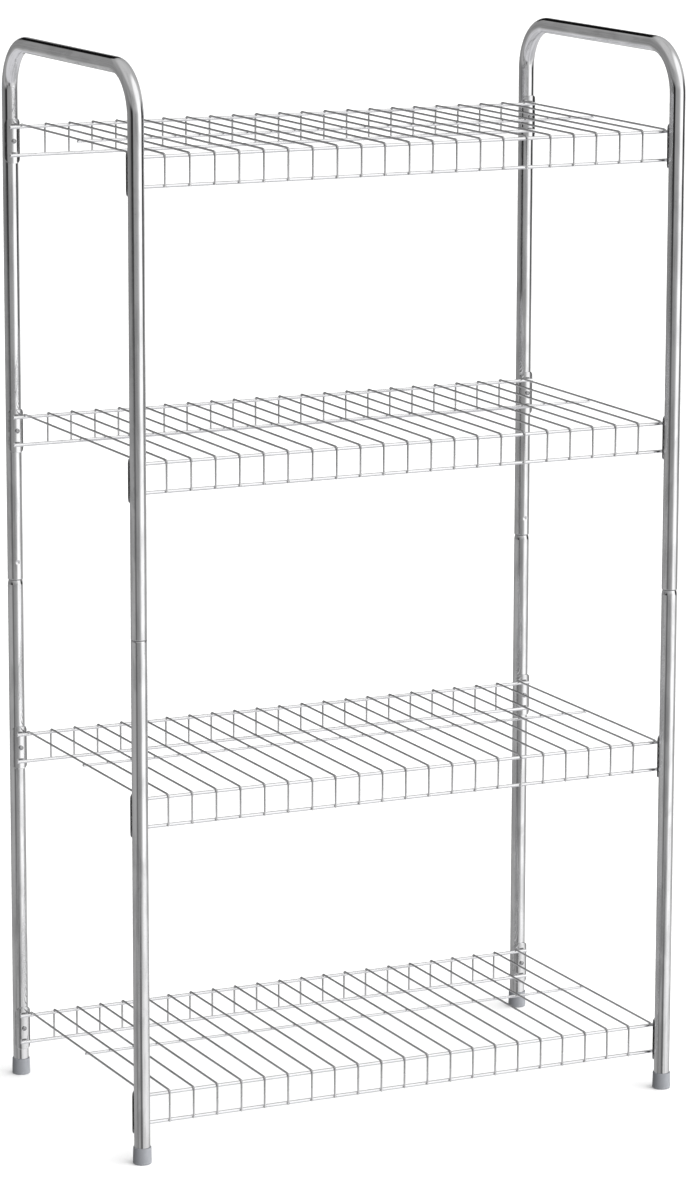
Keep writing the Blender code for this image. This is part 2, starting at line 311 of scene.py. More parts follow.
def body_mesh(name, body):
    bmesh.ops.recalc_face_normals(body, faces=body.faces)
    mesh = bpy.data.meshes.new(name)
    body.to_mesh(mesh)
    body.free()
    return smooth(mesh, BODY_EDGE_ANGLE)


def evaluated_mesh(item):
    """The mesh of an object with its modifiers applied. The object is removed."""
    bpy.context.view_layer.update()
    depsgraph = bpy.context.evaluated_depsgraph_get()
    mesh = bpy.data.meshes.new_from_object(item.evaluated_get(depsgraph))
    bpy.data.objects.remove(item, do_unlink=True)
    return mesh


def keep_straight(mesh):
    """For a mesh that isn't bent, the attribute is the vertex's own place."""
    if STRAIGHT in mesh.attributes:
        mesh.attributes.remove(mesh.attributes[STRAIGHT])
    layer = mesh.attributes.new(STRAIGHT, "FLOAT_VECTOR", "POINT")
    for vertex, value in zip(mesh.vertices, layer.data):
        value.vector = vertex.co
    return mesh


def show(name, mesh, material, slot, *nodes, matrix=None):
    """Puts a piece in the scene in place of its CAD nodes."""
    piece = link(name, mesh)
    if matrix:
        piece.matrix_world = matrix
    if not mesh.materials:
        mesh.materials.append(material)
    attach(piece, "root")
    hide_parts(*nodes)
    return piece


# Materials. Noise scales are in cells per metre across, across and along the straightened metal.

# Plated steel: brightness where bright and dull, roughness where polished and hazy, depth in metres of
# the drawing lines and of the orange peel, and the scale of the lines.
METALS = {
    "chrome_tube": (0.97, 0.77, 0.03, 0.10, 0.000003, 0.00002, (2400, 2400, 30)),
    "chrome_long_wire": (0.97, 0.90, 0.08, 0.16, 0.000003, 0.000006, (3000, 3000, 90)),
    # The cross wires are darker than the long wires: partly a duller plating, partly painted shade.
    "chrome_cross_wire": (0.72, 0.60, 0.10, 0.20, 0.000003, 0.000006, (3000, 3000, 90)),
    "chrome_weld_spot": (0.52, 0.40, 0.18, 0.30, 0.000004, 0.00001, (1500, 1500, 1500)),
    "chrome_bracket": (0.92, 0.78, 0.06, 0.14, 0.000003, 0.00007, (1800, 1800, 60)),
    "plated_screw": (0.56, 0.44, 0.12, 0.22, 0.000004, 0.000006, (1600, 1600, 1600)),
}
CHROME_BLUE = 1.01
SMUDGE_SCALE = (90, 90, 22)
SMUDGE_SPAN = (0.3, 0.75)
SMUDGE_LEAST = 0.3
SMUDGE_DISTORTION = 0.6
HAZE_SPAN = (0.4, 0.72)
STREAK_WIDTH = 3
DULL_SPAN = (0.15, 0.5)
PIT_SCALE = (1400, 1400, 1100)
PIT_SPAN = (0.70, 0.76)
PIT_COVER = 0.55
PIT_SHADE = 0.45
PIT_ROUGHNESS = 0.2
PEEL_SCALE = (260, 260, 150)

# The brackets' painted dark reflection on one flank, by X round the post's axis, and the painted shade
# above the seats of the long wires.
PAINTED_DARK_FLANK = (-0.0066, -0.0056)
PAINTED_DARK_FLANK_COVER = 0.9
PAINTED_DARK_FLANK_GREY = 0.1
PAINTED_SHADE_ABOVE_WIRE = 0.0022
PAINTED_SHADE_SIZE = (0.0036, 0.0012)
PAINTED_SHADE_SPAN = (0.5, 1.0)
PAINTED_SHADE_COVER = 0.85
PAINTED_SHADE_GREY = 0.09
# The cross wires' legs, with painted light, and the joint between two tubes, with painted shade.
LEG_FADE = 0.003
LEG_ROUGHNESS = 0.42
SEAM_SHADE_GREY = 0.12

PLASTIC_DARK = (0.255, 0.264, 0.284, 1.0)
PLASTIC_LIGHT = (0.30, 0.31, 0.333, 1.0)
PLASTIC_WORN = (0.42, 0.43, 0.44, 1.0)
PLASTIC_SPECULAR = 0.4
PLASTIC_CLOUD_SCALE = (220, 220, 160)
PLASTIC_CLOUD_SPAN = (0.3, 0.7)
PLASTIC_ROUGHNESS = (0.3, 0.42)
SCUFF_SCALE = (900, 900, 500)
SCUFF_SPAN = (0.5, 0.68)
SCUFF_HEIGHTS = (0.0008, 0.0035)
SPARK_SCALE = (2600, 2600, 2600)
SPARK_DEPTH = 0.00004


def add_node(tree, kind, inputs=None, **settings):
    """A node whose inputs are numbers or other nodes' outputs."""
    made = tree.nodes.new(kind)
    for name, value in settings.items():
        setattr(made, name, value)
    for socket, value in (inputs or {}).items():
        if isinstance(value, bpy.types.NodeSocket):
            tree.links.new(value, made.inputs[socket])
        else:
            made.inputs[socket].default_value = value
    return made


def noise(tree, scale, detail=2.0, distortion=0.0):
    """Noise on the straightened metal."""
    place = add_node(tree, "ShaderNodeAttribute", attribute_name=STRAIGHT)
    scaled = add_node(
        tree,
        "ShaderNodeVectorMath",
        {0: place.outputs["Vector"], 1: scale},
        operation="MULTIPLY",
    )
    made = add_node(
        tree,
        "ShaderNodeTexNoise",
        {"Vector": scaled.outputs[0], "Scale": 1.0, "Detail": detail, "Distortion": distortion},
    )
    return made.outputs["Fac"]


def remap(tree, value, low, high, to_low, to_high):
    made = add_node(
        tree,
        "ShaderNodeMapRange",
        {0: value, 1: low, 2: high, 3: to_low, 4: to_high},
        interpolation_type="SMOOTHSTEP",
    )
    return made.outputs[0]


def math_node(tree, operation, *values):
    return add_node(tree, "ShaderNodeMath", dict(enumerate(values)), operation=operation).outputs[0]


def mix_colour(tree, factor, first, second):
    made = add_node(tree, "ShaderNodeMix", {0: factor, 6: first, 7: second}, data_type="RGBA")
    return made.outputs[2]


def bump(tree, height, distance, normal=None):
    inputs = {"Height": height, "Strength": 1.0, "Distance": distance}
    if normal:
        inputs["Normal"] = normal
    return add_node(tree, "ShaderNodeBump", inputs).outputs["Normal"]


def new_material(name):
    material = bpy.data.materials.new(name)
    material.use_nodes = True
    tree = material.node_tree
    return material, tree, tree.nodes["Principled BSDF"]


def grey(value, blue=1.0):
    return (value, value, value * blue, 1.0)


def metal(name):
    """Plated steel: dull patches and pits, hazy smudges, drawing lines and orange peel."""
    bright, dull, polish, haze, lines, peel, grain = METALS[name]
    material, tree, shader = new_material(name)
    shader.inputs["Metallic"].default_value = 1.0
    smudge = noise(tree, SMUDGE_SCALE, detail=4.0, distortion=SMUDGE_DISTORTION)
    pits = remap(tree, noise(tree, PIT_SCALE, detail=1.0), *PIT_SPAN, 0.0, 1.0)
    streak = noise(tree, [scale / STREAK_WIDTH for scale in grain], detail=3.0)
    tone = math_node(tree, "MULTIPLY", remap(tree, smudge, *SMUDGE_SPAN, SMUDGE_LEAST, 1.0), streak)
    dulled = remap(tree, tone, *DULL_SPAN, 0.0, 1.0)
    colour = mix_colour(tree, dulled, grey(bright, CHROME_BLUE), grey(dull, CHROME_BLUE))
    pitted = math_node(tree, "MULTIPLY", pits, PIT_COVER)
    colour = mix_colour(tree, pitted, colour, grey(dull * PIT_SHADE))
    hazy = remap(tree, smudge, *HAZE_SPAN, polish, haze)
    rough = math_node(tree, "MULTIPLY_ADD", pits, PIT_ROUGHNESS, hazy)
    peeled = bump(tree, noise(tree, PEEL_SCALE), peel)
    drawn = bump(tree, noise(tree, grain), lines, peeled)
    tree.links.new(colour, shader.inputs["Base Color"])
    tree.links.new(rough, shader.inputs["Roughness"])
    tree.links.new(drawn, shader.inputs["Normal"])
    return material


def recolour(material, factor, colour):
    """Mixes a colour into a metal, as far as the factor says."""
    tree = material.node_tree
    base = tree.nodes["Principled BSDF"].inputs["Base Color"]
    tree.links.new(mix_colour(tree, factor, base.links[0].from_socket, colour), base)
    return material


def point_value(tree, name):
    return add_node(tree, "ShaderNodeAttribute", attribute_name=name).outputs["Fac"]


def welded_plate(name):
    """The brackets' plated steel, with a painted dark reflection on one flank and painted shade above the
    seat of each long wire.
    """
    material = metal(name)
    tree = material.node_tree
    place = add_node(tree, "ShaderNodeAttribute", attribute_name=STRAIGHT).outputs["Vector"]
    sideways = add_node(tree, "ShaderNodeSeparateXYZ", {0: place}).outputs[0]
    # Painted dark reflection: the flank on one side of the post is darkened in the colour.
    painted_flank = remap(tree, sideways, *PAINTED_DARK_FLANK, PAINTED_DARK_FLANK_COVER, 0.0)
    recolour(material, painted_flank, grey(PAINTED_DARK_FLANK_GREY, CHROME_BLUE))
    # Painted shade: a dark patch just above the seat of each long wire.
    for seat in (-LIP_HEIGHT / 2, LIP_HEIGHT / 2):
        middle = (0.0, 0.0, seat + PAINTED_SHADE_ABOVE_WIRE)
        away = add_node(tree, "ShaderNodeVectorMath", {0: place, 1: middle}, operation="SUBTRACT")
        scaled = add_node(
            tree,
            "ShaderNodeVectorMath",
            {0: away.outputs[0], 1: [1 / PAINTED_SHADE_SIZE[0], 0.0, 1 / PAINTED_SHADE_SIZE[1]]},
            operation="MULTIPLY",
        )
        length = add_node(tree, "ShaderNodeVectorMath", {0: scaled.outputs[0]}, operation="LENGTH")
        painted_shade = remap(tree, length.outputs["Value"], *PAINTED_SHADE_SPAN, PAINTED_SHADE_COVER, 0.0)
        recolour(material, painted_shade, grey(PAINTED_SHADE_GREY, CHROME_BLUE))
    return material


def bent_wire(name):
    """The cross wires' plated steel, which is less polished on the legs and has light painted onto them as
    a brighter colour.
    """
    material = metal(name)
    tree = material.node_tree
    leg = point_value(tree, LEG)
    rough = tree.nodes["Principled BSDF"].inputs["Roughness"]
    duller = add_node(tree, "ShaderNodeMix", {0: leg, 2: rough.links[0].from_socket, 3: LEG_ROUGHNESS})
    tree.links.new(duller.outputs[0], rough)
    # Painted light: the legs' colour is raised to white, to show them brighter.
    return recolour(material, leg, grey(1.0))


def seamed_tube(name):
    """The tubes' plated steel, with painted shade in the joint between an upper and a lower tube, partly
    the dull unpolished swage there.
    """
    material = metal(name)
    return recolour(material, point_value(material.node_tree, SEAM_SHADE), grey(SEAM_SHADE_GREY, CHROME_BLUE))


def mark(mesh, name, full, none):
    """A point attribute that is 1 at the height full, 0 at the height none and even in between."""
    layer = mesh.attributes.new(name, "FLOAT", "POINT")
    for vertex, value in zip(mesh.vertices, layer.data):
        value.value = min(1.0, max(0.0, (none - vertex.co.z) / (none - full)))


def moulded_plastic(name):
    """Blue-grey moulded plastic with a fine spark grain, and scuffs near the floor."""
    material, tree, shader = new_material(name)
    shader.inputs["Specular IOR Level"].default_value = PLASTIC_SPECULAR
    cloud = noise(tree, PLASTIC_CLOUD_SCALE, detail=3.0)
    place = add_node(tree, "ShaderNodeAttribute", attribute_name=STRAIGHT)
    height = add_node(tree, "ShaderNodeSeparateXYZ", {0: place.outputs["Vector"]}).outputs[2]
    near_floor = remap(tree, height, *SCUFF_HEIGHTS, 1.0, 0.0)
    scuff = remap(tree, noise(tree, SCUFF_SCALE, detail=4.0), *SCUFF_SPAN, 0.0, 1.0)
    worn = math_node(tree, "MULTIPLY", scuff, near_floor)
    colour = mix_colour(tree, cloud, PLASTIC_DARK, PLASTIC_LIGHT)
    colour = mix_colour(tree, worn, colour, PLASTIC_WORN)
    rough = remap(tree, cloud, *PLASTIC_CLOUD_SPAN, *PLASTIC_ROUGHNESS)
    grain = bump(tree, noise(tree, SPARK_SCALE), SPARK_DEPTH)
    tree.links.new(colour, shader.inputs["Base Color"])
    tree.links.new(rough, shader.inputs["Roughness"])
    tree.links.new(grain, shader.inputs["Normal"])
    return material


# Pieces


def post_centre(corner):
    """The middle of a lower post's box, and the tube's radius."""
    low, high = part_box("lower_post_" + corner)
    return (low + high) / 2, (high.x - low.x) / 2


def press_dimple(body, centre, inward):
    """Pushes the wall in round a point on its surface, as a punch does."""
    for vertex in body.verts:
        away = vertex.co - centre
        across = math.hypot(away.x, away.z) / DIMPLE_RADIUS
        if across < 1 and abs(away.y) < DIMPLE_REACH:
            vertex.co.y -= inward * DIMPLE_DEPTH * (1 - across * across) ** 2


def frame_tube(side_name, material, start):
    """The upper tube of one end frame, bent from one length and open at both lower ends."""
    node = "upper_frame_" + side_name
    low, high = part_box(node)
    front, radius = post_centre("front_" + side_name)
    back, _ = post_centre("back_" + side_name)
    seam, top = low.z, high.z
    straight_end = top - radius - BEND_RADIUS
    dimple = seam + DIMPLE_ABOVE_SEAM
    heights = [seam + RIM_RADIUS * along for _, along in FRAME_RIM]
    heights += [seam + RIM_RADIUS, seam + RIM_RADIUS + HOLD, seam + RING_BELOW_DIMPLE]
    heights += [dimple + DIMPLE_RING_GAP * step for step in range(-DIMPLE_RINGS, DIMPLE_RINGS + 1)]
    heights += spaced(seam + RINGS_FROM_SEAM, straight_end - RINGS_TO_BEND, TUBE_STEPS)
    route = [(front.y, height) for height in heights]
    route += arc((front.y + BEND_RADIUS, straight_end), BEND_RADIUS, 180, 90, BEND_STEPS)
    route += [(-y, z) for y, z in reversed(route)]
    points = [Vector((front.x, y, z)) for y, z in route]
    rim = [RIM_RADIUS * inward for inward, _ in FRAME_RIM]
    drop = [*rim, *[0.0] * (len(points) - 2 * len(rim)), *reversed(rim)]
    bore = radius - TUBE_WALL
    body = new_body()
    right = Vector((1, 0, 0))
    outer = skin(body, points, [radius - d for d in drop], right, TUBE_SIDES, start)
    inner = skin(body, points, [bore + d * BORE_RIM_SHARE for d in drop], right, TUBE_SIDES, start)
    join_rings(body, outer[0], inner[0])
    join_rings(body, outer[-1], inner[-1])
    press_dimple(body, Vector((front.x, front.y + radius, dimple)), 1)
    press_dimple(body, Vector((back.x, back.y - radius, dimple)), -1)
    mesh = body_mesh(node + "_skin", body)
    # Painted shade on the upper tube's bottom rim, where it meets the lower tube.
    mark(mesh, SEAM_SHADE, seam + RIM_RADIUS * 0.5, seam + RIM_RADIUS)
    show("frame_tube_" + side_name, mesh, material, "chrome_tube", node)


def lower_tube(corner, material, start):
    """A straight lower tube with a swaged spigot at its top."""
    node = "lower_post_" + corner
    centre, radius = post_centre(corner)
    low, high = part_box(node)
    seam = high.z - SPIGOT_LENGTH
    swage, depth = (HOME_SWAGE, HOME_DEPTH) if corner == PUSHED_HOME else (SWAGE_LENGTH, NECK_DEPTH)
    shoulder = seam - swage
    bore = radius - TUBE_WALL
    spigot_bore = SPIGOT_RADIUS - SPIGOT_WALL
    outer = [(radius - RIM_RADIUS * inward, low.z + RIM_RADIUS * along) for inward, along in POST_RIM]
    outer += [(radius, low.z + RIM_RADIUS), (radius, low.z + RIM_RADIUS + HOLD)]
    outer += [(radius, height) for height in spaced(low.z, shoulder, TUBE_STEPS)[1:-1]]
    outer += [(radius, shoulder - HOLD), (radius, shoulder)]
    for share in spaced(0.0, 1.0, NECK_STEPS)[1:]:
        outer.append((radius - depth * share**NECK_CURVE, shoulder + (swage - SEAM_EDGE) * share))
    outer.append((SPIGOT_RADIUS + SPIGOT_FLARE, seam))
    outer += [(SPIGOT_RADIUS, high.z - RIM_RADIUS), (SPIGOT_RADIUS - RIM_RADIUS / 2, high.z)]
    inner = [(spigot_bore, high.z), (spigot_bore, seam), (bore, shoulder), (bore, low.z)]
    body = new_body()
    place = Vector((centre.x, centre.y, 0))
    add_turned(body, outer + inner, place, TUBE_SIDES, loop=True)
    layer = body.verts.layers.float_vector[STRAIGHT]
    for vertex in body.verts:
        vertex[layer] = vertex[layer] + Vector((0, 0, start))
    mesh = body_mesh(node + "_skin", body)
    # Painted shade at the top of the neck, in the joint under the upper tube's rim.
    mark(mesh, SEAM_SHADE, seam - SEAM_EDGE * 0.5, seam - SEAM_EDGE * 1.5)
    show("lower_tube_" + corner, mesh, material, "chrome_tube", node)


def foot_mesh(corner):
    """A moulded cup with rounded edges, round the origin."""
    low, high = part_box("foot_cap_" + corner)
    bottom_radius = (high.x - low.x) / 2
    height = high.z - low.z
    _, radius = post_centre(corner)
    bore = radius + FOOT_GAP
    lip = (FOOT_TOP_RADIUS - bore) / 2
    profile = [(0.0, FOOT_FLOOR), (bore, FOOT_FLOOR)]
    profile += arc((bore + lip, height - lip), lip, 180, 0, FOOT_EDGE_STEPS)
    edge = (bottom_radius - FOOT_EDGE_RADIUS, FOOT_EDGE_RADIUS)
    profile += arc(edge, FOOT_EDGE_RADIUS, 0, -90, FOOT_EDGE_STEPS)
    profile.append((0.0, 0.0))
    body = new_body()
    add_turned(body, profile, Vector(), TUBE_SIDES)
    return body_mesh("foot_skin", body)


def foot(corner, cup, material):
    """The moulded cup, which all four posts share, under one post."""
    post, _ = post_centre(corner)
    place = Matrix.Translation((post.x, post.y, 0))
    show("foot_" + corner, cup, material, "foot_plastic", "foot_cap_" + corner, matrix=place)


def u_wire_points(x_front, x_back, long_y, height, leg_end):
    """A cross wire over two long wires, with both legs turned down outside them."""
    turn = arc((long_y, 0.0), CROSS_WIRE_OFFSET, 90, 0, WIRE_BEND_STEPS)
    half = [(y, z) for y, z in turn] + [(long_y + CROSS_WIRE_OFFSET, -LIP_HEIGHT - leg_end)]
    whole = [(-y, z) for y, z in reversed(half)] + half
    points = []
    for y, z in whole:
        share = (y / long_y + 1) / 2
        points.append(Vector((x_front + (x_back - x_front) * share, y, height + z)))
    return points


def end_wire_points(x, tip_y, height):
    """The flat wire beside the brackets, its tips bent down over the long wires."""
    start = tip_y - END_WIRE_TIP_RUN
    half = [(start * 0.5, CROSS_WIRE_OFFSET)]
    for share in spaced(0.0, 1.0, WIRE_BEND_STEPS):
        drop = END_WIRE_TIP_DROP * share * share
        half.append((start + END_WIRE_TIP_RUN * share, CROSS_WIRE_OFFSET - drop))
    whole = [(-y, z) for y, z in reversed(half)] + half
    return [Vector((x, y, height + z)) for y, z in whole]


def shelf(number, materials, jitter):
    """One welded grid: long wires, cross wires and the spots where they are welded."""
    node = f"shelf_grid_{number}"
    bracket_low, bracket_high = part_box(f"shelf_bracket_{number}_front_left")
    height = (bracket_low.z + bracket_high.z + LIP_HEIGHT) / 2
    post, _ = post_centre("front_left")
    half_x, half_y = -post.x, -post.y
    long_y = half_y - LONG_WIRE_FROM_POST
    end_x = PITCHES_TO_END_WIRE * CROSS_WIRE_PITCH
    start = number * SHELF_START

    long_wires = new_body()
    back = Vector((0, 1, 0))
    for side_y in (-1, 1):
        for level in (0.0, -LIP_HEIGHT):
            reach = half_x + LONG_WIRE_PAST_POST
            ends = [Vector((side_x * reach, side_y * long_y, height + level)) for side_x in (-1, 1)]
            add_wire(long_wires, spaced(*ends, WIRE_STEPS), LONG_WIRE_RADIUS, back, start)
            start += LONG_WIRE_START
    middle_z = height + CROSS_WIRE_OFFSET - MIDDLE_WIRE_DROP
    reach = end_x + MIDDLE_WIRE_PAST_END
    ends = [Vector((side_x * reach, 0, middle_z)) for side_x in (-1, 1)]
    add_wire(long_wires, spaced(*ends, WIRE_STEPS), MIDDLE_WIRE_RADIUS, back, start)

    cross_wires = new_body()
    spots = new_body()
    right = Vector((1, 0, 0))
    for pitch in range(-PITCHES_TO_END_WIRE, PITCHES_TO_END_WIRE + 1):
        x = pitch * CROSS_WIRE_PITCH
        start += CROSS_WIRE_START
        if abs(pitch) == PITCHES_TO_END_WIRE:
            points = end_wire_points(x, half_y - END_WIRE_TIP_FROM_POST, height)
        else:
            shifts = [jitter.uniform(-WIRE_SHIFT, WIRE_SHIFT) for _ in range(2)]
            leg_end = LEG_BELOW_LOWER_WIRE + jitter.uniform(*LEG_SPREAD)
            points = u_wire_points(x + shifts[0], x + shifts[1], long_y, height, leg_end)
            for side_y in (-1, 1):
                leg_y = side_y * (long_y + LONG_WIRE_RADIUS)
                add_blob(spots, Vector((x, leg_y, height - LIP_HEIGHT)), LEG_SPOT)
        add_wire(cross_wires, points, CROSS_WIRE_RADIUS, right, start)
        for side_y in (-1, 1):
            spot = Vector((x, side_y * long_y, height + LONG_WIRE_RADIUS - WELD_DEPTH / 2))
            add_blob(spots, spot, LONG_WIRE_SPOT)
        spot = Vector((x, 0, middle_z + MIDDLE_WIRE_RADIUS - WELD_DEPTH / 2))
        add_blob(spots, spot, MIDDLE_WIRE_SPOT)
    for side_x, side_y in CORNERS.values():
        for level in (0.0, -LIP_HEIGHT):
            seat_y = side_y * (half_y - BRACKET_OUTER_RADIUS - BRACKET_SPOT_GAP)
            add_blob(spots, Vector((side_x * half_x, seat_y, height + level)), BRACKET_SPOT)
    for name, body, material in (
        ("long_wires", long_wires, materials["long"]),
        ("cross_wires", cross_wires, materials["cross"]),
        ("weld_spots", spots, materials["weld"]),
    ):
        mesh = body_mesh(f"shelf_{number}_{name}", body)
        if body is cross_wires:
            mark(mesh, LEG, height - LEG_FADE, height)
        show(f"shelf_{number}_{name}", mesh, material, "chrome_wire", node)


def bracket_mesh(half_height):
    """A rounded plate wrapped round the +Y side of a post whose axis is Z, with softened edges."""
    half_arc = BRACKET_OUTER_RADIUS * BRACKET_HALF_ANGLE
    plate = bmesh.new()
    bmesh.ops.create_grid(plate, x_segments=PLATE_COLUMNS, y_segments=PLATE_ROWS, size=1.0)
    for vertex in plate.verts:
        across = math.sin(math.pi / 2 * vertex.co.x)
        into_corner = max(0.0, abs(across) * half_arc - half_arc + BRACKET_CORNER)
        cut_back = BRACKET_CORNER - math.sqrt(max(0.0, BRACKET_CORNER**2 - into_corner**2))
        angle = across * BRACKET_HALF_ANGLE
        vertex.co = Vector(
            (
                BRACKET_INNER_RADIUS * math.sin(angle),
                BRACKET_INNER_RADIUS * math.cos(angle),
                vertex.co.y * (half_height - cut_back),
            )
        )
    bmesh.ops.remove_doubles(plate, verts=plate.verts, dist=PLATE_MERGE)
    bmesh.ops.recalc_face_normals(plate, faces=plate.faces)
    if sum(face.normal.y for face in plate.faces) < 0:
        bmesh.ops.reverse_faces(plate, faces=plate.faces)
    mesh = bpy.data.meshes.new("bracket_plate")
    plate.to_mesh(mesh)
    plate.free()
    item = link("bracket_plate", mesh)
    wall = item.modifiers.new("wall", "SOLIDIFY")
    wall.thickness = BRACKET_THICKNESS
    wall.offset = 1.0
    edge = item.modifiers.new("edge", "BEVEL")
    edge.width = PLATE_EDGE
    edge.segments = PLATE_EDGE_STEPS
    edge.limit_method = "ANGLE"
    edge.angle_limit = math.radians(PLATE_EDGE_ANGLE)
    return smooth(keep_straight(evaluated_mesh(item)), PLATE_EDGE_ANGLE)


def screw_mesh():
    """A dome-headed screw with a cross recess, its axis Z and its seat at the origin."""
    profile = [(0.0, -SCREW_LENGTH), (SCREW_SHANK_RADIUS, -SCREW_LENGTH), (SCREW_SHANK_RADIUS, 0.0)]
    profile += [(SCREW_HEAD_RADIUS - SCREW_HEAD_CHAMFER, 0.0), (SCREW_HEAD_RADIUS, SCREW_HEAD_CHAMFER)]
    crown = SCREW_HEAD_HEIGHT - SCREW_DOME_START
    for angle in spaced(0.0, math.pi / 2, SCREW_DOME_STEPS)[:-1]:
        profile.append((SCREW_HEAD_RADIUS * math.cos(angle), SCREW_DOME_START + crown * math.sin(angle)))
    profile.append((0.0, SCREW_HEAD_HEIGHT))
    body = new_body()
    add_turned(body, profile, Vector(), SCREW_SIDES)
    head = link("screw_head", body_mesh("screw_head", body))
    cross = bmesh.new()
    for angle in (0, 90):
        place = Matrix.Translation((0, 0, SCREW_HEAD_HEIGHT)) @ Matrix.Rotation(math.radians(angle), 4, "Z")
        size = Matrix.Diagonal((*RECESS_SIZE, 1.0))
        bmesh.ops.create_cube(cross, size=1.0, matrix=place @ size)
    cross_mesh = bpy.data.meshes.new("screw_cross")
    cross.to_mesh(cross_mesh)
    cross.free()
    cutter = link("screw_cross", cross_mesh)
    cut = head.modifiers.new("recess", "BOOLEAN")
    cut.operation = "DIFFERENCE"
    cut.solver = "EXACT"
    cut.use_self = True
    cut.object = cutter
    made = keep_straight(evaluated_mesh(head))
    bpy.data.objects.remove(cutter, do_unlink=True)
    return smooth(made, SCREW_EDGE_ANGLE)


def fittings(materials, jitter):
    """The sixteen brackets and their screws."""
    low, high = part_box("shelf_bracket_1_front_left")
    plate = bracket_mesh((high.z - low.z) / 2)
    screw = screw_mesh()
    for number in SHELVES:
        for corner, (_, side_y) in CORNERS.items():
            low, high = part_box(f"shelf_bracket_{number}_{corner}")
            post, _ = post_centre(corner)
            centre = Matrix.Translation((post.x, post.y, (low.z + high.z) / 2))
            inward = centre @ Matrix.Rotation(math.pi if side_y > 0 else 0.0, 4, "Z")
            name = f"bracket_{number}_{corner}"
            show(name, plate, materials["plate"], "bracket_plate", "shelf_" + name, matrix=inward)
            seat = Matrix.Translation((0, SCREW_SEAT, 0)) @ Matrix.Rotation(math.radians(-90), 4, "X")
            spin = Matrix.Rotation(jitter.uniform(0, math.pi / 2), 4, "Z")
            name = f"screw_{number}_{corner}"
            node = f"bracket_screw_{number}_{corner}"
            show(name, screw, materials["screw"], "screw_metal", node, matrix=inward @ seat @ spin)


# Stage. The world shader gives each direction a brightness, which is what the chrome reflects.

# Brightness round the studio, by the angle in degrees from the photograph's viewpoint. An upright tube
# reflects a ray without changing its rise, so at that viewpoint the high band shows in the upper tubes,
# the low band in the lower tubes and the foot band beside the feet. The upper band shows in the bends.
UPPER_BAND = (
    (-180, 0.4), (-100, 0.28), (-40, 0.28), (0, 0.42), (28, 0.6), (45, 1.15), (76, 1.15), (96, 0.5),
    (180, 0.4),
)
HIGH_BAND = (
    (-180, 0.45), (-150, 0.28), (-105, 0.24), (-74, 0.18), (-60, 0.025), (-37, 0.018), (-28, 0.29),
    (0, 0.31), (24, 0.38), (40, 0.75), (50, 1.15), (82, 1.15), (91, 0.025), (121, 0.025), (135, 0.6),
    (180, 0.45),
)
LOW_BAND = (
    (-180, 0.5), (-150, 0.38), (-105, 0.34), (-60, 0.38), (-47, 0.30), (-39, 0.13), (-27, 0.14),
    (-19, 0.28), (0, 0.27), (24, 0.38), (38, 0.85), (48, 1.1), (86, 1.1), (97, 0.42), (128, 0.38),
    (150, 0.7), (180, 0.5),
)
FOOT_BAND = (
    (-180, 0.5), (-150, 0.42), (-110, 0.34), (-70, 0.3), (-60, 0.15), (-51, 0.28), (-44, 0.33),
    (-20, 0.34), (-13, 0.15), (0, 0.13), (9, 0.16), (15, 0.6), (30, 0.68), (43, 0.74), (60, 0.84),
    (100, 0.84), (114, 0.7), (125, 0.5), (150, 0.52), (180, 0.6),
)
# Each band with the rise of the direction (the sine of its height) over which it takes over from the
# band below. The foot band is the lowest.
BANDS_UPWARDS = (
    (LOW_BAND, (-0.295, -0.245)),
    (HIGH_BAND, (-0.22, -0.10)),
    (UPPER_BAND, (0.08, 0.30)),
)
# Behind the rack. Brightness by height: 0 is straight down, 0.5 level and 1 straight up.
BACK_BAND = ((0.27, 0.62), (0.32, 0.45), (0.37, 0.28), (0.43, 0.26), (0.70, 0.27), (0.76, 0.4))
BACK_BY_Y = (0.78, 0.86)
BACK_BY_X = (0.40, 0.46)
BACK_BEYOND_X = 0.15
FLAG = 0.004
FLAG_BY_X = (-0.10, -0.04)
FLAG_BY_RISE = (0.235, 0.275)
# Below, above, and a lamp high over the rack's front right.
FLOOR_GLOW = 0.62
FLOOR_BLUE = 1.03
FLOOR_BY_RISE = (-0.46, -0.36)
CEILING = 0.52
CEILING_BY_RISE = (0.50, 0.78)
TOP_LAMP = 1.05
TOP_LAMP_DIRECTION = (0.452, -0.544, 0.707)
TOP_LAMP_EDGE = (0.76, 0.97)
BACKDROP = 1.0
# The broad soft light that matt surfaces get, from the viewpoint's left to its right and from above.
SOFT_SPREAD = 0.7
SOFT_LEFT = 0.12
SOFT_RIGHT = 1.75
SOFT_TOP = 1.1
SOFT_TOP_BY_RISE = (0.4, 0.9)
# The floor, and the one soft lamp by its angle from straight up and its turn round Z.
FLOOR_SIZE = 80.0
FLOOR_CLOUDS = 0.8
FLOOR_DARK = 0.885
FLOOR_LIGHT = 0.9
FLOOR_ROUGHNESS = 0.9
FLOOR_SPECULAR = 0.1
SUN_STRENGTH = 1.8
SUN_SPREAD = math.radians(70)
SUN_TILT = math.radians(38)
SUN_TURN = math.radians(38)


def direction_share(tree, vector, axis):
    """How far a direction points along an axis, from -1 to 1."""
    made = add_node(tree, "ShaderNodeVectorMath", {0: vector, 1: axis}, operation="DOT_PRODUCT")
    return made.outputs["Value"]


def fade(tree, value, span):
    """0 below a span of values, 1 above it and smooth within it."""
    return remap(tree, value, *span, 0.0, 1.0)


def brightness_ramp(tree, value, stops):
    """A ramp of greys. stops are (position from 0 to 1, brightness)."""
    made = add_node(tree, "ShaderNodeValToRGB", {0: value})
    elements = made.color_ramp.elements
    while len(elements) < len(stops):
        elements.new(0.5)
    for element, (position, brightness) in zip(elements, stops):
        element.position = position
        element.color = grey(brightness)
    return made.outputs["Color"]


def turn_stops(stops):
    """Stops given by the angle round the studio, in degrees, from -180 to 180."""
    return [((angle + 180) / 360, brightness) for angle, brightness in stops]


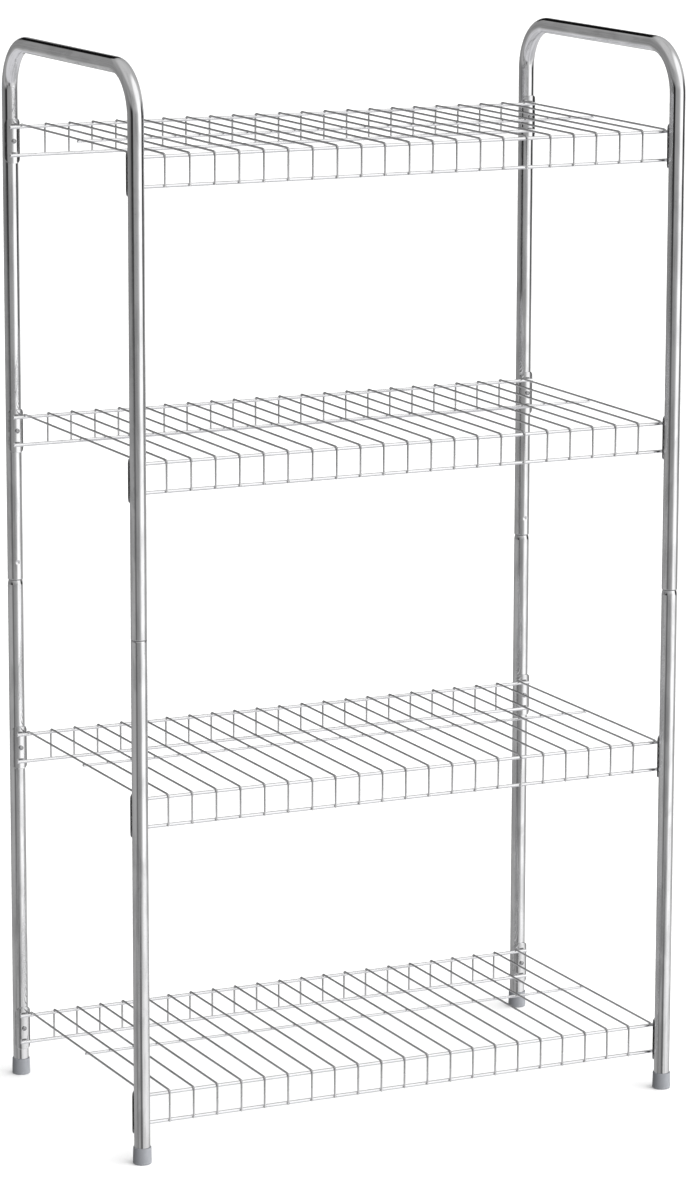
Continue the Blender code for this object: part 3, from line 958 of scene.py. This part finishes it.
def studio_walls(tree, place, turn, up):
    """What stands round the studio, from the foot band upwards, with the back wall behind the rack."""
    share = math_node(tree, "MULTIPLY_ADD", turn, 1 / math.tau, 0.5)
    walls = brightness_ramp(tree, share, turn_stops(FOOT_BAND))
    for stops, span in BANDS_UPWARDS:
        band = brightness_ramp(tree, share, turn_stops(stops))
        walls = mix_colour(tree, fade(tree, up, span), walls, band)
    back_wall = brightness_ramp(tree, math_node(tree, "MULTIPLY_ADD", up, 0.5, 0.5), BACK_BAND)
    to_plus_x = direction_share(tree, place, (1.0, 0.0, 0.0))
    to_plus_y = direction_share(tree, place, (0.0, 1.0, 0.0))
    flag = math_node(tree, "MULTIPLY", fade(tree, to_plus_x, FLAG_BY_X), fade(tree, up, FLAG_BY_RISE))
    back_wall = mix_colour(tree, flag, back_wall, grey(FLAG))
    left_part = remap(tree, to_plus_x, *BACK_BY_X, 1.0, BACK_BEYOND_X)
    behind = math_node(tree, "MULTIPLY", fade(tree, to_plus_y, BACK_BY_Y), left_part)
    return mix_colour(tree, behind, walls, back_wall)


def studio_world():
    """A white studio with dark flags: chrome shows what stands round it, by direction."""
    world = bpy.data.worlds.new("studio")
    bpy.context.scene.world = world
    world.use_nodes = True
    tree = world.node_tree
    tree.nodes.clear()
    place = add_node(tree, "ShaderNodeTexCoord").outputs["Generated"]
    azimuth = math.radians(CAMERA_AZIMUTH)
    forward = direction_share(tree, place, (math.sin(azimuth), -math.cos(azimuth), 0.0))
    sideways = direction_share(tree, place, (math.cos(azimuth), math.sin(azimuth), 0.0))
    up = direction_share(tree, place, (0.0, 0.0, 1.0))
    walls = studio_walls(tree, place, math_node(tree, "ARCTAN2", sideways, forward), up)
    below = remap(tree, up, *FLOOR_BY_RISE, 1.0, 0.0)
    walls = mix_colour(tree, below, walls, grey(FLOOR_GLOW, FLOOR_BLUE))
    walls = mix_colour(tree, fade(tree, up, CEILING_BY_RISE), walls, grey(CEILING))
    to_lamp = fade(tree, direction_share(tree, place, TOP_LAMP_DIRECTION), TOP_LAMP_EDGE)
    walls = mix_colour(tree, to_lamp, walls, grey(TOP_LAMP))
    to_right = fade(tree, sideways, (-SOFT_SPREAD, SOFT_SPREAD))
    soft = mix_colour(tree, to_right, grey(SOFT_LEFT), grey(SOFT_RIGHT))
    soft = mix_colour(tree, fade(tree, up, SOFT_TOP_BY_RISE), soft, grey(SOFT_TOP))
    rays = add_node(tree, "ShaderNodeLightPath")
    lit = mix_colour(tree, rays.outputs["Is Glossy Ray"], soft, walls)
    shown = mix_colour(tree, rays.outputs["Is Camera Ray"], lit, grey(BACKDROP))
    background = add_node(tree, "ShaderNodeBackground", {"Color": shown, "Strength": 1.0})
    output = add_node(tree, "ShaderNodeOutputWorld")
    tree.links.new(background.outputs[0], output.inputs["Surface"])


def floor_material():
    """Pale studio paper."""
    material, tree, shader = new_material("studio_floor")
    shader.inputs["Roughness"].default_value = FLOOR_ROUGHNESS
    shader.inputs["Specular IOR Level"].default_value = FLOOR_SPECULAR
    place = add_node(tree, "ShaderNodeTexCoord").outputs["Object"]
    inputs = {"Vector": place, "Scale": FLOOR_CLOUDS, "Detail": 2.0}
    cloud = add_node(tree, "ShaderNodeTexNoise", inputs).outputs["Fac"]
    colour = mix_colour(tree, cloud, grey(FLOOR_DARK), grey(FLOOR_LIGHT))
    tree.links.new(colour, shader.inputs["Base Color"])
    return material


def stage():
    """The pale floor and one soft light from the upper right."""
    body = bmesh.new()
    bmesh.ops.create_grid(body, x_segments=1, y_segments=1, size=FLOOR_SIZE)
    mesh = bpy.data.meshes.new("studio_floor")
    body.to_mesh(mesh)
    body.free()
    mesh.materials.append(floor_material())
    floor = link("studio_floor", mesh)
    floor.visible_glossy = False
    floor.visible_diffuse = False
    light = bpy.data.lights.new("soft_light", "SUN")
    light.energy = SUN_STRENGTH
    light.angle = SUN_SPREAD
    lamp = link("soft_light", light)
    lamp.rotation_euler = (SUN_TILT, 0.0, SUN_TURN)
    lamp.visible_glossy = False


def camera():
    """A plain camera without shift, at the photograph's viewing angle."""
    data = bpy.data.cameras.new("camera")
    data.lens = FOCAL_LENGTH
    data.sensor_width = SENSOR
    item = link("camera", data)
    bpy.context.scene.camera = item
    azimuth, elevation = math.radians(CAMERA_AZIMUTH), math.radians(CAMERA_ELEVATION)
    back = Vector(
        (
            math.sin(azimuth) * math.cos(elevation),
            -math.cos(azimuth) * math.cos(elevation),
            math.sin(elevation),
        )
    )
    turn = (-back).to_track_quat("-Z", "Y").to_matrix().to_4x4()
    roll = Matrix.Rotation(math.radians(CAMERA_ROLL), 4, "Z")
    item.matrix_world = Matrix.Translation(CAMERA_TARGET + back * CAMERA_DISTANCE) @ turn @ roll


def main():
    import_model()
    camera()
    studio_world()
    stage()
    bpy.context.scene.view_settings.view_transform = "Standard"
    jitter = random.Random(SEED)
    tube = seamed_tube("chrome_tube")
    materials = {
        "long": metal("chrome_long_wire"),
        "cross": bent_wire("chrome_cross_wire"),
        "weld": metal("chrome_weld_spot"),
        "plate": welded_plate("chrome_bracket"),
        "screw": metal("plated_screw"),
    }
    for index, side_name in enumerate(("left", "right")):
        frame_tube(side_name, tube, index * FRAME_START)
    plastic = moulded_plastic("moulded_plastic")
    cup = foot_mesh("front_left")
    for index, corner in enumerate(CORNERS):
        lower_tube(corner, tube, POST_START + index)
        foot(corner, cup, plastic)
    for number in SHELVES:
        shelf(number, materials, jitter)
    fittings(materials, jitter)


main()
